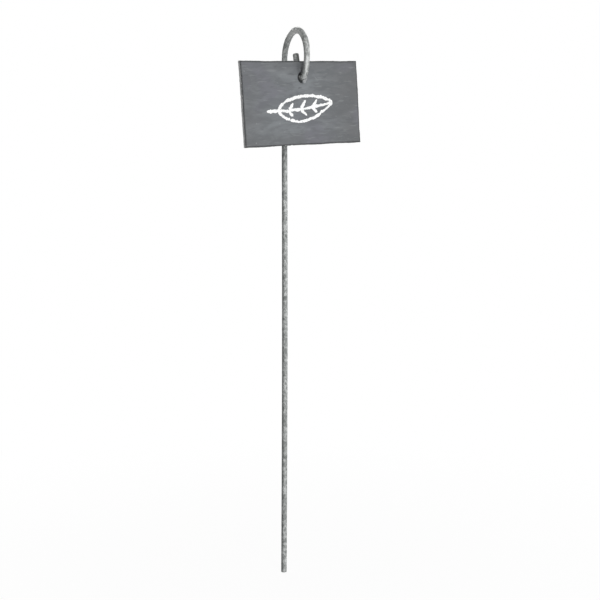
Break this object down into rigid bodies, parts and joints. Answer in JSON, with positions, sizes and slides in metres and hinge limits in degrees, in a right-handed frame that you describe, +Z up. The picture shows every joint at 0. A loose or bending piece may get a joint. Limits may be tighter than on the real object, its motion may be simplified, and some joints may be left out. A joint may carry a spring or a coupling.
{
  "type": "plant label stake",
  "caption": "Garden label stake: a galvanised bar bent into a crook, with a drilled slate tag that hangs and sways on it.",
  "frame": {"origin": "on the shank's axis at the soil line, 115 mm above the stake's foot", "axes": "+Z up along the shank, -Y forward to the side that the crook and the slate's face look to, +X along the slate's width, to the right for someone who faces the slate"},
  "size_m": [0.104, 0.0402, 0.415],
  "materials": {
    "galvanised_bar": "hot-dip galvanised, dull and mottled",
    "slate": "riven, matt, with dressed edges",
    "chalk": "dry white chalk marking on the slate's face"
  },
  "bodies": {
    "root": {"stake": "galvanised_bar"},
    "tag": {"slate_tag": "slate"}
  },
  "joints": [
    {"name": "tag_sway", "type": "hinge", "parent": "root", "child": "tag", "pos_m": [0, -0.02756, 0.26327], "axis": [0.0785, -0.9969, 0], "range_deg": [-65, 57]}
  ]
}
